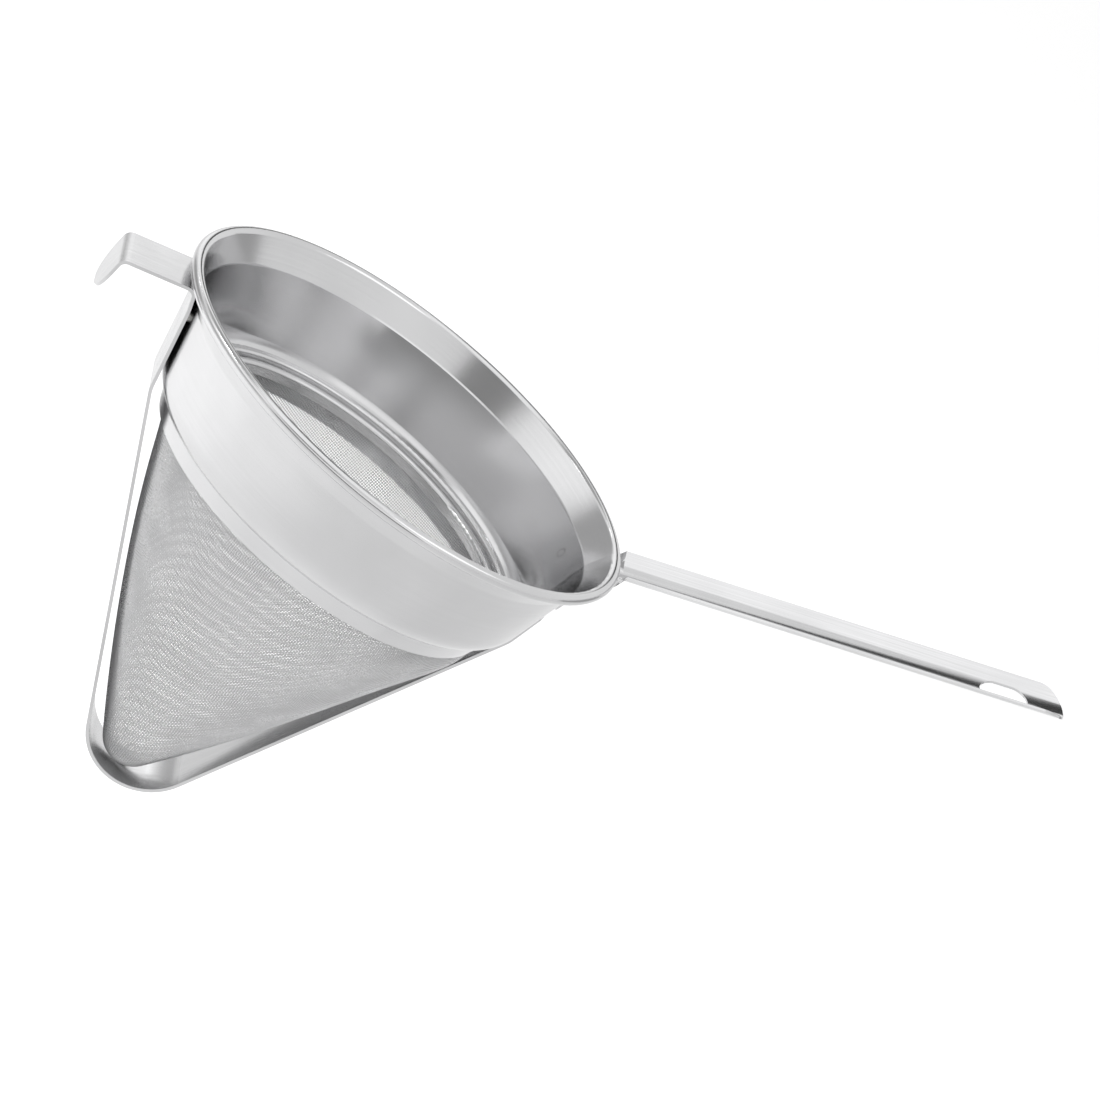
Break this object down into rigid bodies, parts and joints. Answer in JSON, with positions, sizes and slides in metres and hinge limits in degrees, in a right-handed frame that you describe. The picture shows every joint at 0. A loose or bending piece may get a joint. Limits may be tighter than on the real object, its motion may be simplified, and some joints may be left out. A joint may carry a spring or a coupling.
{
  "type": "chinois strainer",
  "caption": "Conical fine-mesh chinois strainer: steel collar with rolled rim, mesh cone, guard strap with pot hook, and gutter handle with a hanging slot.",
  "frame": {"origin": "centre of the mouth, level with the top of the rolled rim", "axes": "+Z out of the mouth along the cone's axis, +X towards the handle"},
  "size_m": [0.4565, 0.23, 0.281],
  "materials": {
    "collar_steel": "satin polished, spun",
    "wire_steel": "drawn wire",
    "mesh_steel": "fine woven wire",
    "ring_steel": "rolled strip",
    "strap_steel": "satin strip",
    "handle_steel": "polished sheet",
    "weld_steel": "spot weld"
  },
  "bodies": {
    "root": {"collar": "collar_steel", "rim_wire": "wire_steel", "mesh_cone": "mesh_steel", "mesh_binding": "ring_steel", "retaining_ring": "ring_steel", "guard_strap": "strap_steel", "handle": "handle_steel", "hook_side_welds": "weld_steel", "handle_side_welds": "weld_steel", "handle_welds": "weld_steel"}
  },
  "joints": []
}
